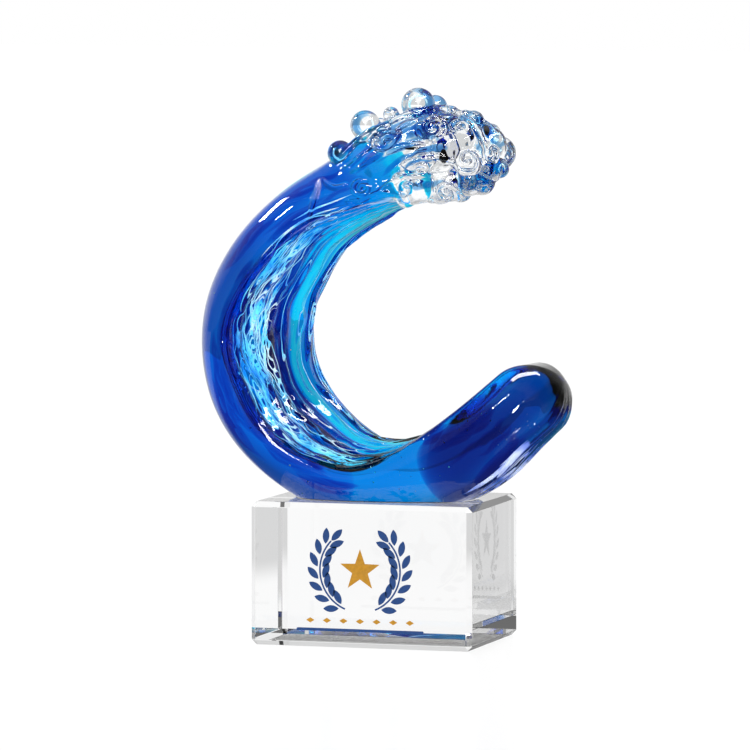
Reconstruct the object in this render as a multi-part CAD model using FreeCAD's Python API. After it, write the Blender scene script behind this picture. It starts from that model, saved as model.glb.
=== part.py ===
import FreeCAD, Part
import math
import os

# A breaking wave of hand-worked glass, bonded to a bevelled block of optical crystal.
# X runs along the front of the block, -Y is the front, +Z is up, all in millimetres.
# The origin is the middle of the block's underside.

os.makedirs("parts", exist_ok=True)

# Block of optical crystal
base_width = 80.0
base_depth = 58.0
base_height = 50.0
base_bevel = 1.8

# Film of clear adhesive under the wave's ground flat
bond_thickness = 0.2

# Wave: how far it reaches each way from the middle of the block, how high the top
# of its crest stands over the block, how thick it is and how deep from front to back
wave_reach = 68.0
wave_rise = 135.0
wave_thickness = 38.0
wave_depth = 44.0
ridge_height = 1.3

# Clear glass over the blue core: thin all round, thick along the inner back rim
casing_wall = 1.6
rim_wall = 6.5

# Foam: how much of the wave carries it, the radius that its lumps of clear glass
# follow, and the thickness of a pressed bead
crest_length = 45.0
lump_radius = 11.0
bead_thickness = 5.0

# Printed design on the front face of the block
print_thickness = 0.1
print_centre_height = 27.0
star_radius = 7.5
sprig_radius = 14.5
stem_width = 0.6
leaf_length = 5.6
leaf_width = 2.4
rule_length = 46.0
rule_width = 1.0
rule_height = 6.2
diamond_width = 3.0
diamond_height = 1.8
diamond_spacing = 6.0
diamond_row_height = 9.4

# Overrun of every cut, and how closely a lump's seat is found
overrun = 5.0
seat_tolerance = 0.001

bottom_of_wave = base_height + bond_thickness
front_of_base = -base_depth / 2

# Stations of the wave from the end of its crest to the end of its tail. Each gives
# the middle of the section across and up, then how far the glass goes from there to
# the outside, to the inner front edge and to the inner back rim, then its depth and
# how tall its ridges are.
station_shares = [
    (0.50, 0.870, 0.27, 0.20, 0.20, 0.54, 0.0),
    (0.33, 0.880, 0.40, 0.28, 0.30, 0.74, 0.0),
    (0.10, 0.855, 0.45, 0.27, 0.33, 0.94, 0.3),
    (-0.14, 0.795, 0.37, 0.17, 0.32, 1.02, 0.8),
    (-0.37, 0.729, 0.34, 0.10, 0.36, 1.04, 1.0),
    (-0.56, 0.630, 0.38, 0.06, 0.42, 1.06, 1.0),
    (-0.68, 0.514, 0.42, 0.01, 0.44, 1.06, 1.0),
    (-0.715, 0.402, 0.44, -0.02, 0.46, 1.06, 1.0),
    (-0.675, 0.284, 0.44, 0.02, 0.46, 1.06, 1.0),
    (-0.550, 0.178, 0.42, 0.03, 0.45, 1.05, 1.0),
    (-0.345, 0.092, 0.39, 0.09, 0.41, 1.03, 1.0),
    (-0.09, 0.040, 0.36, 0.17, 0.36, 1.00, 0.8),
    (0.20, 0.052, 0.36, 0.29, 0.36, 0.96, 0.3),
    (0.47, 0.119, 0.38, 0.36, 0.36, 0.90, 0.1),
    (0.65, 0.195, 0.36, 0.35, 0.34, 0.82, 0.0),
    (0.79, 0.256, 0.34, 0.35, 0.33, 0.74, 0.0),
]
# The blue core starts this many stations in from the end of the crest
core_start = 2

# Outline of a section. The first figure goes out from the middle, the second goes
# from front to back.
outer_outline_shares = [
    (0.62, 0.38),
    (0.90, 0.23),
    (1.00, 0.03),
    (0.93, -0.19),
    (0.76, -0.35),
]
# The front cheek. The first figure goes from the outside to the edge of the ridged
# inner face.
cheek_outline_shares = [(0.46, -0.45), (0.74, -0.49), (0.93, -0.47)]
front_edge_share = -0.40
back_rim_share = 0.33
back_outline_shares = [(0.80, 0.44), (0.30, 0.50)]
ridge_count = 3
plain_ridge_count = 1

# The thick glass of the rim lies this way from the middle of a section, in degrees
# from straight into the hollow, and thins out the faster the higher the power
rim_direction = 40.0
rim_fade = 6
least_core_share = 0.15

# The sections that round off an end, as shares of a quarter turn
dome_turn_shares = [0.35, 0.62, 0.82, 0.95]

# Foam of the crest. Each lump gives how far it sits from the crest's end along the
# middle line, which way it points round that line, in degrees from straight out
# towards the front, how many degrees it leans towards the crest's end, its radius,
# and how many of its radii its middle stands over the glass that carries it.
lobe_shares = [
    (0.00, 38, 21, 0.64, -0.45),
    (0.14, 129, 0, 0.62, -0.45),
    (0.00, 120, 21, 0.50, -0.35),
    (0.46, 122, 0, 0.56, -0.50),
    (0.36, -172, 0, 0.50, -0.30),
    (0.12, -73, 0, 0.64, -0.45),
    (0.47, -124, 0, 0.60, -0.50),
    (0.00, -40, 45, 0.52, -0.40),
]
drop_shares = [
    (0.93, 48, 0, 0.41, 0.10),
    (0.74, 9, 0, 0.48, 0.65),
    (0.70, -21, 0, 0.24, 0.60),
    (0.57, 6, 0, 0.26, 0.60),
    (0.39, 11, 0, 0.54, 0.58),
    (0.35, -23, 0, 0.40, 0.75),
    (0.26, -25, 0, 0.24, 0.60),
    (0.08, 11, 0, 0.36, 0.60),
    (0.00, 0, 12, 0.32, 0.30),
    (0.00, 28, 29, 0.30, 0.75),
    (0.00, 92, 60, 0.30, 0.60),
    (0.06, 149, 0, 0.38, 0.75),
    (0.36, 146, 0, 0.30, 0.45),
    (0.58, 129, 0, 0.35, 0.15),
    (0.00, 21, 58, 0.28, 0.50),
    (0.62, -46, 0, 0.38, 0.65),
    (0.33, -50, 0, 0.36, 0.65),
    (0.04, -80, 0, 0.38, 0.60),
    (0.24, -126, 0, 0.38, 0.30),
    (0.68, -117, 0, 0.35, 0.15),
]
# Beads pressed flat on the front. Each gives how far along, which way round and how
# many degrees it is turned from level, then its half length and its half height.
bead_shares = [
    (0.26, 53, 10, 0.36, 0.33),
    (0.10, 49, 0, 0.29, 0.29),
    (0.56, 62, 25, 0.46, 0.28),
    (0.02, 82, 0, 0.40, 0.38),
    (0.38, 93, 12, 0.52, 0.30),
]

star_points = 5
star_inner_share = 0.4
sprig_leaf_count = 7
sprig_start = 22.0
sprig_turn = 112.0
leaf_lean = 32.0
diamond_count = 7


def place(across, back, up):
    """A point of the wave from its shares of reach, depth and rise."""
    return FreeCAD.Vector(
        across * wave_reach, back * wave_depth, bottom_of_wave + up * wave_rise
    )


def spine_curve():
    """The line through the middle of every station."""
    points = [place(across, 0, up) for across, up, *rest in station_shares]
    curve = Part.BSplineCurve()
    curve.interpolate(points)
    return curve, points


def section_outline(out, front, rim, depth, ridge, ridges):
    """Outline of one section as pairs, out from the middle and back from the middle."""
    pairs = []
    for out_share, back_share in outer_outline_shares:
        pairs.append((out_share * out, back_share * depth))
    for in_share, back_share in cheek_outline_shares:
        pairs.append((out - in_share * (out + front), back_share * depth))
    steps = 2 * ridges
    for step in range(steps + 1):
        share = step / steps
        inward = front + (rim - front) * share
        back_share = front_edge_share + (back_rim_share - front_edge_share) * share
        rise = ridge / 2 if step % 2 == 0 else -ridge / 2
        pairs.append((-inward - rise, back_share * depth))
    for in_share, back_share in back_outline_shares:
        pairs.append((-in_share * rim, back_share * depth))
    return pairs


def core_outline(pairs):
    """The outline of the blue core inside one of the casing, thick at the rim."""
    inner = []
    for outward, back in pairs:
        turn = math.atan2(back, -outward) - math.radians(rim_direction)
        at_rim = max(0.0, math.cos(turn)) ** rim_fade
        wall = casing_wall + (rim_wall - casing_wall) * at_rim
        keep = max(least_core_share, 1 - wall / math.hypot(outward, back))
        inner.append((outward * keep, back * keep))
    return inner


def section_wire(centre, outward, pairs):
    """A closed smooth wire through the outline's points."""
    points = []
    for out_by, back_by in pairs:
        points.append(centre + outward * out_by + FreeCAD.Vector(0, back_by, 0))
    curve = Part.BSplineCurve()
    knots = [index / len(points) for index in range(len(points) + 1)]
    curve.interpolate(Points=points, PeriodicFlag=True, Parameters=knots)
    return Part.Wire([curve.toShape()])


def round_end(centre, along, outward, pairs):
    """Sections that shrink as a dome does, down to a small flat."""
    reaches = [outward_by for outward_by, back_by in pairs]
    length = (max(reaches) - min(reaches)) / 2
    wires = []
    for share in dome_turn_shares:
        turn = share * math.pi / 2
        smaller = [(a * math.cos(turn), b * math.cos(turn)) for a, b in pairs]
        wires.append(section_wire(centre + along * (length * math.sin(turn)), outward, smaller))
    return wires


def swept_glass(first, core):
    """Glass from one station to the end of the tail, with a round end at each side."""
    curve, points = spine_curve()
    sections = []
    wires = []
    for index in range(first, len(station_shares)):
        across, up, out, front, rim, depth, ridge = station_shares[index]
        tangent = curve.tangent(curve.parameter(points[index]))[0]
        outward = FreeCAD.Vector(tangent.z, 0, -tangent.x)
        sizes = [share * wave_thickness for share in (out, front, rim)]
        sizes.append(depth * wave_depth)
        if core:
            outline = core_outline(section_outline(*sizes, 0.0, plain_ridge_count))
        else:
            outline = section_outline(*sizes, ridge * ridge_height, ridge_count)
        sections.append((points[index], tangent, outward, outline))
        wires.append(section_wire(points[index], outward, outline))
    centre, along, outward, outline = sections[0]
    head = round_end(centre, -along, outward, outline)
    tail = round_end(*sections[-1])
    return Part.makeLoft(head[::-1] + wires + tail, True, False)


def slab(low, high):
    """A box wider and deeper than the wave, from one height to another."""
    width = 2 * (wave_reach + wave_thickness)
    depth = 2 * wave_depth
    corner = FreeCAD.Vector(-width / 2, -depth / 2, low)
    return Part.makeBox(width, depth, high - low, corner)


def crest_block():
    """A block that holds all of the crest on the free side of the blue core's start."""
    curve, points = spine_curve()
    tangent = curve.tangent(curve.parameter(points[core_start]))[0]
    width = 2 * wave_thickness
    depth = 2 * wave_depth
    block = Part.makeBox(width, depth, wave_reach, FreeCAD.Vector(-width / 2, -depth / 2, 0))
    turned = FreeCAD.Rotation(FreeCAD.Vector(0, 0, 1), -tangent)
    block.Placement = FreeCAD.Placement(points[core_start], turned)
    return block


def make_base():
    """The block, with a flat bevel along each of its edges."""
    corner = FreeCAD.Vector(-base_width / 2, front_of_base, 0)
    block = Part.makeBox(base_width, base_depth, base_height, corner)
    return block.makeChamfer(base_bevel, block.Edges)


def seat(glass, along, turn, lean):
    """Where a line out of the crest's middle meets the glass, and its directions."""
    curve, points = spine_curve()
    parameter = curve.parameterAtDistance(along * crest_length, curve.FirstParameter)
    middle = curve.value(parameter)
    tangent = curve.tangent(parameter)[0]
    outward = FreeCAD.Vector(tangent.z, 0, -tangent.x)
    turn = math.radians(turn)
    lean = math.radians(lean)
    round_it = outward * math.cos(turn) + FreeCAD.Vector(0, -math.sin(turn), 0)
    direction = round_it * math.cos(lean) - tangent * math.sin(lean)
    inside = 0.0
    outside = wave_depth + wave_thickness
    while outside - inside > seat_tolerance:
        halfway = (inside + outside) / 2
        if glass.isInside(middle + direction * halfway, seat_tolerance, False):
            inside = halfway
        else:
            outside = halfway
    return middle + direction * inside, direction, tangent


def make_lump(glass, along, turn, lean, size, proud):
    """A round lump with its middle so many radii over the glass that carries it."""
    surface, direction = seat(glass, along, turn, lean)[:2]
    radius = size * lump_radius
    return Part.makeSphere(radius, surface + direction * (proud * radius), direction)


def make_bead(glass, along, turn, level, length, height):
    """A round lump pressed flat against the glass that carries it."""
    surface, direction, tangent = seat(glass, along, turn, 0)
    bead = Part.makeSphere(lump_radius)
    stretch = FreeCAD.Matrix()
    stretch.scale(length, height, bead_thickness / (2 * lump_radius))
    bead = bead.transformGeometry(stretch)
    bead.rotate(FreeCAD.Vector(0, 0, 0), FreeCAD.Vector(0, 0, 1), level)
    bead.Placement = FreeCAD.Placement(
        surface, FreeCAD.Rotation(-tangent, FreeCAD.Vector(0, 0, 0), direction, "ZXY")
    ).multiply(bead.Placement)
    return bead


def standing_out(lump, neighbours):
    """What of a lump stands out of the glass that it is set on."""
    left = lump
    for one in neighbours:
        if one.BoundBox.intersect(lump.BoundBox):
            left = left.cut(one)
    return max(left.Solids, key=lambda solid: solid.Volume)


def front_face(outline):
    """A flat print on the block's front face from a closed wire at the height nought."""
    ink = Part.Face(outline).extrude(FreeCAD.Vector(0, -print_thickness, 0))
    ink.translate(FreeCAD.Vector(0, front_of_base, print_centre_height))
    return ink


def make_star():
    points = []
    for index in range(2 * star_points + 1):
        turn = index * math.pi / star_points
        reach = star_radius * (1 if index % 2 == 0 else star_inner_share)
        points.append(FreeCAD.Vector(reach * math.sin(turn), 0, reach * math.cos(turn)))
    return front_face(Part.makePolygon(points))


def arc_point(radius, degrees):
    """A point of a circle round the star, counted from straight down."""
    turn = math.radians(degrees)
    return FreeCAD.Vector(radius * math.sin(turn), 0, -radius * math.cos(turn))


def make_leaf(base, degrees, length):
    """A leaf of two arcs from its base along a direction in the face."""
    turn = math.radians(degrees)
    along = FreeCAD.Vector(math.cos(turn), 0, math.sin(turn))
    side = FreeCAD.Vector(-math.sin(turn), 0, math.cos(turn)) * (leaf_width / 2)
    tip = base + along * length
    middle = base + along * (length / 2)
    left = Part.Arc(base, middle + side, tip).toShape()
    right = Part.Arc(tip, middle - side, base).toShape()
    return front_face(Part.Wire([left, right]))


def make_sprig(side):
    """A curved stem with leaves along both of its edges and one at its tip."""
    inner = sprig_radius - stem_width / 2
    outer = sprig_radius + stem_width / 2
    middle = sprig_start + sprig_turn / 2
    end = sprig_start + sprig_turn
    stem = Part.Wire([
        Part.Arc(arc_point(inner, sprig_start), arc_point(inner, middle), arc_point(inner, end)).toShape(),
        Part.LineSegment(arc_point(inner, end), arc_point(outer, end)).toShape(),
        Part.Arc(arc_point(outer, end), arc_point(outer, middle), arc_point(outer, sprig_start)).toShape(),
        Part.LineSegment(arc_point(outer, sprig_start), arc_point(inner, sprig_start)).toShape(),
    ])
    pieces = [front_face(stem)]
    for index in range(sprig_leaf_count):
        degrees = sprig_start + sprig_turn * (index + 0.5) / sprig_leaf_count
        for edge, lean in ((inner - stem_width, leaf_lean), (outer + stem_width, -leaf_lean)):
            pieces.append(make_leaf(arc_point(edge, degrees), degrees + lean, leaf_length))
    pieces.append(make_leaf(arc_point(sprig_radius, end + stem_width), end, leaf_length))
    sprig = Part.makeCompound(pieces)
    if side < 0:
        sprig = sprig.mirror(FreeCAD.Vector(0, 0, 0), FreeCAD.Vector(1, 0, 0))
    return sprig


def make_rules():
    """The long rule under the wreath, with half round ends."""
    half = (rule_length - rule_width) / 2
    radius = rule_width / 2
    low = rule_height - print_centre_height - radius
    high = low + rule_width
    middle = (low + high) / 2
    bar = Part.Wire([
        Part.LineSegment(FreeCAD.Vector(-half, 0, low), FreeCAD.Vector(half, 0, low)).toShape(),
        Part.Arc(
            FreeCAD.Vector(half, 0, low),
            FreeCAD.Vector(half + radius, 0, middle),
            FreeCAD.Vector(half, 0, high),
        ).toShape(),
        Part.LineSegment(FreeCAD.Vector(half, 0, high), FreeCAD.Vector(-half, 0, high)).toShape(),
        Part.Arc(
            FreeCAD.Vector(-half, 0, high),
            FreeCAD.Vector(-half - radius, 0, middle),
            FreeCAD.Vector(-half, 0, low),
        ).toShape(),
    ])
    return front_face(bar)


def make_diamonds():
    """A row of diamonds between the wreath and the rule."""
    pieces = []
    for index in range(diamond_count):
        across = (index - (diamond_count - 1) / 2) * diamond_spacing
        up = diamond_row_height - print_centre_height
        pieces.append(front_face(Part.makePolygon([
            FreeCAD.Vector(across - diamond_width / 2, 0, up),
            FreeCAD.Vector(across, 0, up - diamond_height / 2),
            FreeCAD.Vector(across + diamond_width / 2, 0, up),
            FreeCAD.Vector(across, 0, up + diamond_height / 2),
            FreeCAD.Vector(across - diamond_width / 2, 0, up),
        ])))
    return Part.makeCompound(pieces)


def build():
    nodes = {"base_block": make_base()}
    blank = swept_glass(0, False)
    below = slab(-overrun, bottom_of_wave)
    nodes["bond_film"] = blank.common(slab(base_height, bottom_of_wave))
    ground = blank.cut(below)
    core = swept_glass(core_start, True).cut(below)
    crest = crest_block()
    nodes["wave_casing"] = ground.cut([core, crest])
    nodes["wave_core"] = core
    nodes["crest_gather"] = ground.common(crest).cut(core)

    set_down = [ground]
    tables = (
        ("crest_lobe", lobe_shares, make_lump),
        ("swirl_bead", bead_shares, make_bead),
        ("foam_drop", drop_shares, make_lump),
    )
    for name, shares, make in tables:
        for number, row in enumerate(shares, 1):
            whole = make(ground, *row)
            lump = standing_out(whole, set_down)
            set_down.append(whole)
            nodes["%s_%02d" % (name, number)] = lump

    nodes["print_star"] = make_star()
    nodes["print_sprig_left"] = make_sprig(-1)
    nodes["print_sprig_right"] = make_sprig(1)
    nodes["print_rule"] = make_rules()
    nodes["print_diamonds"] = make_diamonds()
    return nodes


for name, shape in build().items():
    print(name, len(shape.Solids), shape.isValid(), round(shape.Volume, 2))
    shape.exportStep("parts/" + name + ".step")
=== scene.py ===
import math
import random

import bmesh
import bpy
import numpy as np
from mathutils import Matrix, Vector, geometry, noise
from mathutils.bvhtree import BVHTree


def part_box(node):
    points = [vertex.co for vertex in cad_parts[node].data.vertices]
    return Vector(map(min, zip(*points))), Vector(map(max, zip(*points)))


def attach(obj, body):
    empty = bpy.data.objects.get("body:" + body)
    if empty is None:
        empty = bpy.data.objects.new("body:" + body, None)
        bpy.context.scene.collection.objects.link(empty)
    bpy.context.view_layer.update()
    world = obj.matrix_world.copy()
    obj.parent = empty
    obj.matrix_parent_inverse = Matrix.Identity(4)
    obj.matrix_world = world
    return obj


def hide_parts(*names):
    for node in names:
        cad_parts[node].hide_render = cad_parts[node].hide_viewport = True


# The looks of a glass wave on a crystal block. Metres, +X along the front, -Y to the viewer, +Z up.
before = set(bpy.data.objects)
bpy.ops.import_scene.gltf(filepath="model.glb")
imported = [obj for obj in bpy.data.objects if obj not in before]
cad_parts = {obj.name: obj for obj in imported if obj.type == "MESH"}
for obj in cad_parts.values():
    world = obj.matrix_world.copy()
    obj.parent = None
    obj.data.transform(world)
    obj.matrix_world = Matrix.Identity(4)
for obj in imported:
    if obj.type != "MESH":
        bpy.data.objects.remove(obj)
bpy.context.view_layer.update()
scene = bpy.context.scene

mm = 0.001
base_low, base_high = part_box("base_block")
bottom_of_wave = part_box("wave_core")[0].z

# Wave: reach each way, rise over the block, thickness and depth
wave_reach = 68 * mm
wave_rise = 135 * mm
wave_thickness = 38 * mm
wave_depth = 44 * mm

# Stations from the end of the crest to the end of the tail: middle across and up, how far the glass goes
# to the outside, the inner front edge and the inner back rim, and its depth
station_shares = [
    (0.50, 0.870, 0.27, 0.20, 0.20, 0.54),
    (0.33, 0.880, 0.40, 0.28, 0.30, 0.74),
    (0.10, 0.855, 0.45, 0.27, 0.33, 0.94),
    (-0.14, 0.795, 0.37, 0.17, 0.32, 1.02),
    (-0.37, 0.729, 0.34, 0.10, 0.36, 1.04),
    (-0.56, 0.630, 0.38, 0.06, 0.42, 1.06),
    (-0.68, 0.514, 0.42, 0.01, 0.44, 1.06),
    (-0.715, 0.402, 0.44, -0.02, 0.46, 1.06),
    (-0.675, 0.284, 0.44, 0.02, 0.46, 1.06),
    (-0.550, 0.178, 0.42, 0.03, 0.45, 1.05),
    (-0.345, 0.092, 0.39, 0.09, 0.41, 1.03),
    (-0.09, 0.040, 0.36, 0.17, 0.36, 1.00),
    (0.20, 0.052, 0.36, 0.29, 0.36, 0.96),
    (0.47, 0.119, 0.38, 0.36, 0.36, 0.90),
    (0.65, 0.195, 0.36, 0.35, 0.34, 0.82),
    (0.79, 0.256, 0.34, 0.35, 0.33, 0.74),
]
last_station = len(station_shares) - 1
spine_points = np.array([
    (across * wave_reach, 0.0, bottom_of_wave + up * wave_rise) for across, up, *_ in station_shares
])

# Outline of a section, from the outside over the cheek, down the inner face and round the back
outer_outline_shares = [(0.62, 0.38), (0.90, 0.23), (1.00, 0.03), (0.93, -0.19), (0.76, -0.35)]
cheek_outline_shares = [(0.46, -0.45), (0.74, -0.49), (0.93, -0.47)]
front_edge_share = -0.40
back_rim_share = 0.33
inner_face_points = 5
back_outline_shares = [(0.80, 0.44), (0.30, 0.50)]
first_inner_point = len(outer_outline_shares) + len(cheek_outline_shares)
inner_face_span = inner_face_points - 1
outline_points = first_inner_point + inner_face_points + len(back_outline_shares)

# Relief of the clear skin, and how finely it is drawn before and after the crest's curls are melted on
ridge_height = 1.9 * mm
ridge_lines = 6.0
lace_height = 0.40 * mm
thread_height = 0.12 * mm
tail_ridge_height = 1.1 * mm
fold_height = 2.0 * mm
wrinkle_height = 0.9 * mm
wrinkles_across = (-14 * mm, 4 * mm)
wrinkles_up = (140 * mm, 146 * mm)
skin_rings = 420
skin_points_round = 260
dome_rings = 24
first_melt = 0.55 * mm
last_melt = 0.36 * mm

# Blue core: its first station and the clear wall over it, thickest in one direction in degrees
core_first = 2.7
casing_wall = 1.6 * mm
rim_wall = 3.6 * mm
rim_direction = 40.0
rim_fade = 8
least_core_share = 0.15
core_clearance = 0.3 * mm

# Cobalt body under the cheek and navy body in the tail, as shares of the core's outline
cheek_stations = (3.2, 10.4)
cheek_width_share = 0.62
cheek_shift = 0.15 * wave_thickness
cheek_depth_share = 0.86
tail_first = 12.6
tail_share = 0.84
inner_clearance = 0.6 * mm
last_streak_station = 14.4
scatter_steps = (0.6180, 0.3819, 0.7549, 0.2713)

# How much red, green and blue the coloured glasses take away per metre
azure_rates = (330.0, 37.0, 6.0)
cobalt_rates = (200.0, 24.0, 6.5)
navy_tail_rates = (300.0, 90.0, 42.0)
eye_rates = (3000.0, 1100.0, 420.0)
navy_band_rates = (3000.0, 1100.0, 400.0)
azure_band_rates = (1200.0, 260.0, 20.0)
cheek_streak_rates = (1600.0, 560.0, 190.0)
tail_shade_rates = (1600.0, 600.0, 200.0)
wisp_rates = (1100.0, 520.0, 160.0)
pocket_rates = (1300.0, 560.0, 250.0)

# Clear glass: index, share of full gloss, cast of colour and depth of the fire-polished ripple
wave_index = 1.5
wave_gloss = 0.10
wave_tint = (0.975, 0.995, 1.0)
wave_ripple = 0.01 * mm
block_index = 1.52
block_tint = (0.99, 0.995, 1.0)
block_ripple = 0.0002 * mm
block_bevel = 1.8 * mm
block_arris = 0.12 * mm
amber_ink = (1.0, 0.47, 0.02)
navy_ink = (0.02, 0.11, 0.42)

# Bubbles of air, and the smallest drop that holds a swirl
bubble_count = 90
least_swirled_drop = 3.2 * mm

# Foam on the crest. Lobes and drops: distance from the crest's end in crest lengths, turn round the wave and
# lean towards the end in degrees, radius in lump radii, and how far the middle stands out in radii
crest_length = 45 * mm
lump_radius = 11 * mm
lobe_shares = [
    (0.00, 38, 21, 0.64, -0.45), (0.14, 129, 0, 0.62, -0.45), (0.00, 120, 21, 0.50, -0.35),
    (0.46, 122, 0, 0.56, -0.50), (0.36, -172, 0, 0.50, -0.30), (0.12, -73, 0, 0.64, -0.45),
    (0.47, -124, 0, 0.60, -0.50), (0.00, -40, 45, 0.52, -0.40),
]
drop_shares = [
    (0.93, 48, 0, 0.41, 0.10), (0.74, 9, 0, 0.48, 0.65), (0.70, -21, 0, 0.24, 0.60),
    (0.57, 6, 0, 0.26, 0.60), (0.39, 11, 0, 0.54, 0.58), (0.35, -23, 0, 0.40, 0.75),
    (0.26, -25, 0, 0.24, 0.60), (0.08, 11, 0, 0.36, 0.60), (0.00, 0, 12, 0.32, 0.30),
    (0.00, 28, 29, 0.30, 0.75), (0.00, 92, 60, 0.30, 0.60), (0.06, 149, 0, 0.38, 0.75),
    (0.36, 146, 0, 0.30, 0.45), (0.58, 129, 0, 0.35, 0.15), (0.00, 21, 58, 0.28, 0.50),
    (0.62, -46, 0, 0.38, 0.65), (0.33, -50, 0, 0.36, 0.65), (0.04, -80, 0, 0.38, 0.60),
    (0.24, -126, 0, 0.38, 0.30), (0.68, -117, 0, 0.35, 0.15),
]
# Pressed beads: distance from the end, turn, level in degrees, half length and half height in lump radii
bead_thickness = 5 * mm
bead_shares = [
    (0.26, 53, 10, 0.36, 0.33), (0.10, 49, 0, 0.29, 0.29), (0.56, 62, 25, 0.46, 0.28),
    (0.02, 82, 0, 0.40, 0.38), (0.38, 93, 12, 0.52, 0.30),
]
# Lumps of the crest's front, by the pixel of the photograph where each one shows: across, down, radius
# in mm, and how many radii its middle stands over the glass
front_lumps = [
    (446, 148, 5.6, -0.30), (465, 142, 5.0, -0.15), (484, 148, 5.4, -0.15), (487, 168, 6.0, -0.25),
    (468, 182, 5.6, -0.2), (444, 187, 6.0, -0.2), (418, 187, 5.4, -0.2), (402, 180, 4.2, -0.3),
    (470, 126, 4.4, -0.1), (491, 138, 4.0, 0.0), (376, 134, 4.2, -0.3), (430, 128, 5.0, -0.4),
]
# Curls: pixel across and down, radius and tube radius in mm, turns, tilt in degrees, squeeze
front_curls = [
    (432, 127, 6.0, 1.15, 1.6, 200, 0.85), (460, 129, 4.6, 1.0, 1.5, 80, 1.0),
    (386, 141, 6.4, 1.0, 1.6, 20, 0.5), (467, 159, 6.0, 1.05, 1.6, 130, 0.85),
    (418, 167, 7.4, 1.0, 1.5, 10, 0.45), (362, 188, 4.4, 0.9, 1.6, 0, 0.8),
    (446, 193, 5.2, 0.95, 1.4, -30, 0.7), (406, 188, 4.4, 0.9, 1.4, 60, 0.8),
    (492, 152, 4.2, 0.9, 1.4, 100, 0.8),
]
# Ropes of glass pulled along the crest: pixels that each one passes, and its radius in mm
front_ropes = [
    ([(334, 162), (356, 141), (384, 125), (412, 114), (446, 109), (476, 117), (494, 132)], 2.0),
    ([(340, 170), (364, 152), (392, 132), (422, 119), (456, 116)], 1.0),
    ([(350, 172), (378, 156), (402, 146), (428, 142)], 1.0),
    ([(392, 172), (415, 158), (440, 156), (458, 166)], 1.2),
    ([(309, 216), (314, 198), (321, 178)], 1.0),
    ([(321, 178), (333, 187), (347, 183)], 0.9),
    ([(345, 200), (362, 199), (380, 192), (400, 196)], 0.8),
    ([(372, 196), (398, 178), (420, 176), (446, 172)], 1.0),
    ([(452, 112), (470, 122), (482, 140), (488, 160)], 1.2),
]
# Wisps of blue in the clear crest: pixels that each one passes, radius and depth under the skin in mm
crest_wisps = [
    ([(352, 172), (372, 150), (400, 132), (436, 116), (470, 116)], 1.5, 3.0),
    ([(346, 166), (366, 146), (392, 124), (420, 114)], 1.2, 2.5),
    ([(380, 176), (404, 158), (430, 146), (452, 150)], 1.3, 4.0),
    ([(372, 160), (396, 146), (420, 138), (438, 140)], 1.0, 3.0),
    ([(470, 112), (484, 122), (494, 140)], 1.3, 2.5),
    ([(398, 190), (420, 180), (446, 178)], 0.9, 4.0),
    ([(410, 120), (436, 114), (458, 120)], 1.6, 4.5),
]
# Small dark pockets: pixel across and down, half width, half height and depth in mm
navy_pockets = [
    (442, 159, 1.2, 3.0, 2.0), (438, 116, 3.6, 1.0, 2.0),
    (486, 127, 0.9, 2.2, 1.8), (412, 147, 2.8, 0.6, 2.0),
]

# Camera, fitted to the corners of the block
view_azimuth = math.radians(17.26)
view_elevation = math.radians(4.45)
view_distance = 2532 * mm
view_aim = Vector((0, 0, 100 * mm))
view_offset = (3.41 * mm, 7.28 * mm)
frame_pixels = 750
focal_pixels = 7267.0
view_back = Vector((
    math.sin(view_azimuth) * math.cos(view_elevation),
    -math.cos(view_azimuth) * math.cos(view_elevation),
    math.sin(view_elevation),
))
view_right = Vector((math.cos(view_azimuth), math.sin(view_azimuth), 0))
view_up = view_back.cross(view_right)
view_place = view_aim - view_right * view_offset[0] - view_up * view_offset[1] + view_back * view_distance

# Floor: how brightly the eye sees it, how bright it is in front of and beside the block, the half width
# that stays bright, what is left of it where the glass mirrors it, and its gloss
floor_size = 12
floor_seen = 1.08
front_floor = 0.95
side_floor = 0.7
lit_width = 0.065
mirrored_floor = 0.15
floor_gloss = 0.14
floor_roughness = 0.22

# Room: its light, the same where the glass mirrors it, what is added on print, and its greys from 0 at
# the low end of each axis to 1 at the high end
studio_light = 1.1
mirrored_studio = 0.85
print_light = 1.0
greys_up = [(0.0, 1.0), (0.58, 1.0), (0.66, 0.8), (0.73, 0.5), (0.87, 0.5), (0.91, 1.0), (1.0, 1.0)]
greys_across = [
    (0.0, 0.25), (0.03, 0.9), (0.2, 1.0), (0.80, 1.0), (0.84, 0.6), (0.90, 0.20), (0.97, 0.20), (1.0, 0.6),
]
greys_back = [(0.0, 0.3), (0.38, 0.3), (0.50, 1.0), (1.0, 1.0)]

# Highlights: the pixels where each one starts and ends, the width of its strip light, and its brightness
light_distance = 1.6
highlights = [
    ((260, 221), (286, 197), 0.26, 115.0), ((278, 217), (291, 206), 0.10, 100.0),
    ((228, 248), (207, 286), 0.04, 90.0), ((491, 415), (508, 394), 0.09, 100.0),
    ((511, 381), (538, 373), 0.20, 22.0),
]


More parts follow.
